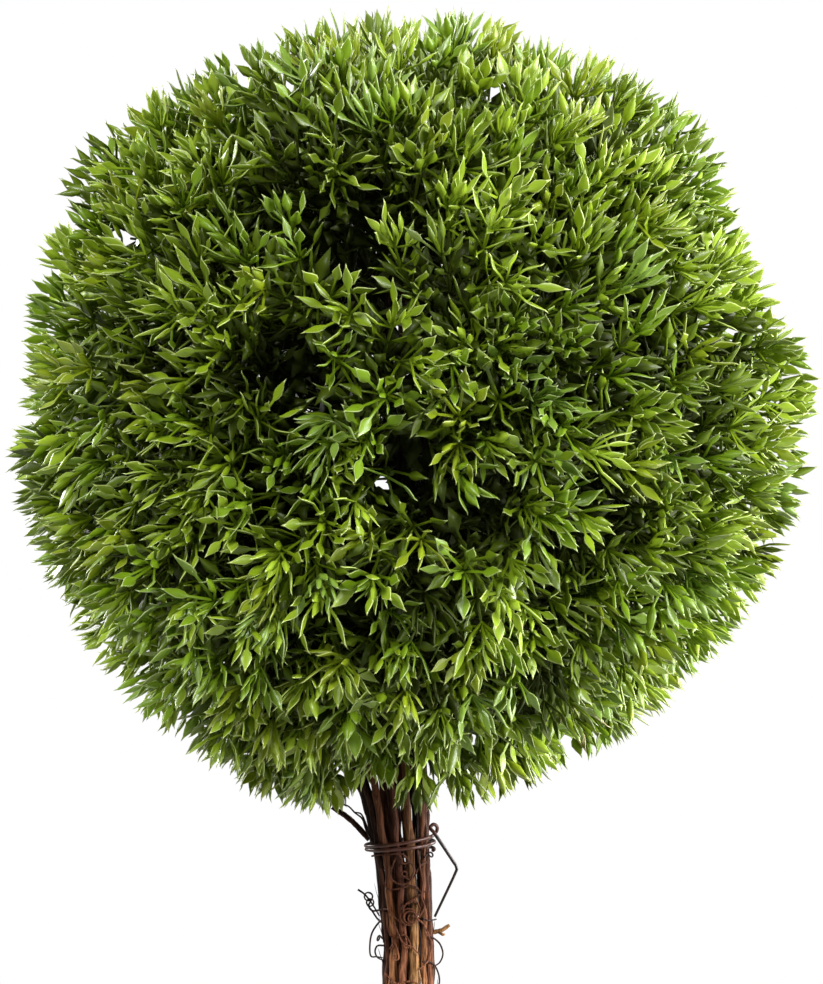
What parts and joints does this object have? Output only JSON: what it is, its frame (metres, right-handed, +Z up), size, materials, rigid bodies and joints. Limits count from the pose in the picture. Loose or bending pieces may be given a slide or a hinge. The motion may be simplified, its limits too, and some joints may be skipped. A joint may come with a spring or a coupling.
{
  "type": "artificial boxwood ball topiary",
  "caption": "Artificial boxwood ball of moulded leaf sprays on a trunk of bundled vines tied with wire, standing in a plain clay pot.",
  "frame": {"origin": "centre of the pot's flat underside, where it stands", "axes": "+Z up along the trunk; -Y is the side that the picture shows; +X is its right"},
  "size_m": [0.3273, 0.331, 0.6927],
  "materials": {
    "clay": "unglazed, matte",
    "soil": "dark potting soil, matte",
    "bark": "dry peeling vine bark",
    "wire": "brown coated wire, satin",
    "leaf": "moulded artificial leaves, satin"
  },
  "bodies": {
    "root": {"crown": "leaf", "pot": "clay", "soil": "soil", "spur_left": "bark", "spur_right": "bark", "tendril_front_high": "bark", "tendril_front_low": "bark", "tendril_left_bow": "bark", "tendril_left_curl": "bark", "tendril_right_bow": "bark", "tendril_top_left": "bark", "tie_lower": "wire", "tie_upper": "wire", "vine_01": "bark", "vine_02": "bark", "vine_03": "bark", "vine_04": "bark", "vine_05": "bark", "vine_06": "bark", "vine_07": "bark", "vine_08": "bark", "vine_09": "bark", "vine_10": "bark", "vine_11": "bark", "vine_12": "bark", "vine_13": "bark", "vine_14": "bark", "vine_15": "bark", "vine_16": "bark", "vine_17": "bark", "vine_18": "bark", "vine_19": "bark"}
  },
  "joints": []
}
